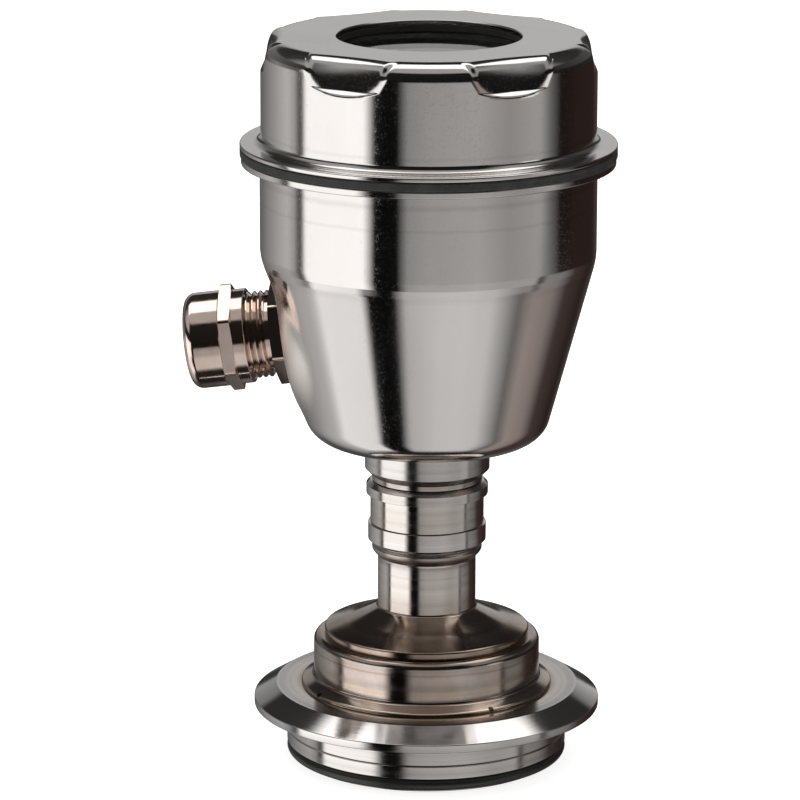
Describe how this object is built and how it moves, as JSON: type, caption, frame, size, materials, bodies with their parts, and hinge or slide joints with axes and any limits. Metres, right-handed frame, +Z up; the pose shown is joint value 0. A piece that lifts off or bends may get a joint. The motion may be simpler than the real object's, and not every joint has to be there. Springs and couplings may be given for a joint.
{
  "type": "pressure transmitter",
  "caption": "Stainless hygienic pressure transmitter: clamp flange with O-ring spigot, turned neck, swivelling drawn housing, screw cover with window and finger recesses, cable gland.",
  "frame": {"origin": "centre of the flange's underside, the plane that seats on the process fitting", "axes": "+Z up the neck to the cover, -X along the cable gland"},
  "size_m": [0.1039, 0.09, 0.1775],
  "materials": {
    "flange_steel": "turned stainless steel, fine concentric lathe marks",
    "sensor_steel": "turned stainless steel with straw and brown weld tint",
    "neck_steel": "bright turned stainless steel",
    "drawn_steel": "electropolished drawn stainless sheet",
    "ring_steel": "machined stainless steel, hidden under the cover",
    "nickel": "brass, bright nickel plated",
    "seal_rubber": "black rubber, satin",
    "gasket_rubber": "dark grey-black flat rubber, matt",
    "cell_ceramic": "white alumina ceramic, ground",
    "circuit_board": "green coated circuit board",
    "lead_jacket": "dark insulated lead",
    "potting": "black potted moulding",
    "terminal_plastic": "green terminal moulding",
    "screw_steel": "zinc plated steel",
    "display_plastic": "dark grey moulded plastic",
    "display_glass": "grey-green display panel, blank",
    "key_plastic": "light grey key caps",
    "window_glass": "clear toughened glass",
    "cage_plastic": "natural polyamide"
  },
  "bodies": {
    "process_unit": {"process_flange": "flange_steel", "process_oring": "seal_rubber", "cell_seal": "seal_rubber", "measuring_cell": "cell_ceramic", "cell_clamp_ring": "ring_steel", "cell_board": "circuit_board", "sensor_lead": "lead_jacket", "sensor_body": "sensor_steel", "sensor_neck": "sensor_steel", "neck_sleeve": "neck_steel", "swivel_ring": "screw_steel"},
    "housing": {"housing_socket": "neck_steel", "swivel_oring": "seal_rubber", "housing_shell": "drawn_steel", "thread_ring": "ring_steel", "gland_bush": "ring_steel", "gland_seal": "seal_rubber", "gland_body": "nickel", "electronics_module": "potting", "electronics_screws": "screw_steel", "terminal_block": "terminal_plastic", "terminal_screws": "screw_steel", "display_module": "display_plastic", "display_panel": "display_glass"},
    "cover_seal": {"cover_gasket": "gasket_rubber"},
    "lid": {"cover": "drawn_steel", "window_seal": "seal_rubber", "window_glass": "window_glass", "window_ring": "ring_steel"},
    "gland_clamp": {"gland_claw": "cage_plastic", "gland_grommet": "seal_rubber"},
    "gland_cap": {"gland_nut": "nickel"},
    "key_1": {"display_key_1": "key_plastic"},
    "key_2": {"display_key_2": "key_plastic"},
    "key_3": {"display_key_3": "key_plastic"},
    "key_4": {"display_key_4": "key_plastic"}
  },
  "joints": [
    {"name": "housing_swivel", "type": "hinge", "parent": "process_unit", "child": "housing", "pos_m": [0, 0, 0.0563], "axis": [0, 0, 1], "range_deg": [-165, 165]},
    {"name": "cover_lift", "type": "slide", "parent": "housing", "child": "cover_seal", "axis": [0, 0, 1], "range_m": [0, 0.007]},
    {"name": "cover_turn", "type": "hinge", "parent": "cover_seal", "child": "lid", "pos_m": [0, 0, 0.138], "axis": [0, 0, 1], "range_deg": [0, 1270]},
    {"name": "gland_travel", "type": "slide", "parent": "housing", "child": "gland_clamp", "axis": [-0.9914, 0, -0.1305], "range_m": [-0.004, 0.0045]},
    {"name": "gland_turn", "type": "hinge", "parent": "gland_clamp", "child": "gland_cap", "pos_m": [-0.0456, 0, 0.09033], "axis": [-0.9914, 0, -0.1305], "range_deg": [-975, 1095]},
    {"name": "key_press_1", "type": "slide", "parent": "housing", "child": "key_1", "axis": [0, 0, -1], "range_m": [0, 0.0005], "stiffness_N_per_m": 800},
    {"name": "key_press_2", "type": "slide", "parent": "housing", "child": "key_2", "axis": [0, 0, -1], "range_m": [0, 0.0005], "stiffness_N_per_m": 800},
    {"name": "key_press_3", "type": "slide", "parent": "housing", "child": "key_3", "axis": [0, 0, -1], "range_m": [0, 0.0005], "stiffness_N_per_m": 800},
    {"name": "key_press_4", "type": "slide", "parent": "housing", "child": "key_4", "axis": [0, 0, -1], "range_m": [0, 0.0005], "stiffness_N_per_m": 800}
  ],
  "couplings": [
    {"joint": "cover_turn", "follows": "cover_lift", "rad_per_m": 3141.6},
    {"joint": "gland_turn", "follows": "gland_travel", "rad_per_m": 4188.8}
  ]
}
